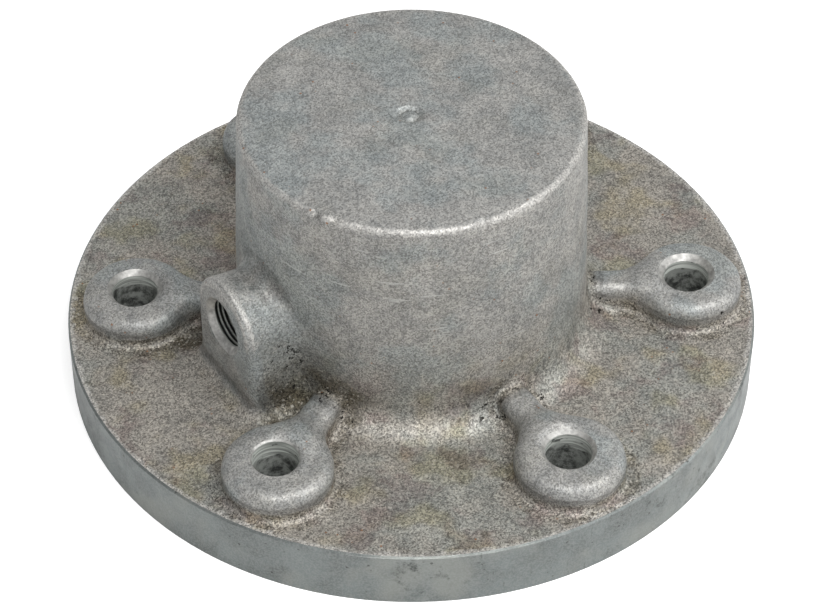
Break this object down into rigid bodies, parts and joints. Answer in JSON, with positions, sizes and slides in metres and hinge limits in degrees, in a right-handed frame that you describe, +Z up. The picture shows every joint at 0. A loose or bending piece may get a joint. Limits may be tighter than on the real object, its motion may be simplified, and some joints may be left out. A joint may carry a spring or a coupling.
{
  "type": "flanged cast housing",
  "caption": "closed round cast housing cup on a thick bolting flange with round bolt bosses, short neck ribs and an arched side pad with a tapped port",
  "frame": {"origin": "centre of the machined seat, on the axis of the cup", "axes": "+Z up along the cup axis out of the closed end, +X towards one bolt boss (2.6 degrees from it), +Y completes the right-handed frame"},
  "size_m": [0.212, 0.212, 0.094],
  "materials": {
    "cast": "as-cast grainy grey skin with brown and olive staining in the corners; turned rim, seat, hole mouths and port face"
  },
  "bodies": {
    "root": {"housing": "cast"}
  },
  "joints": []
}
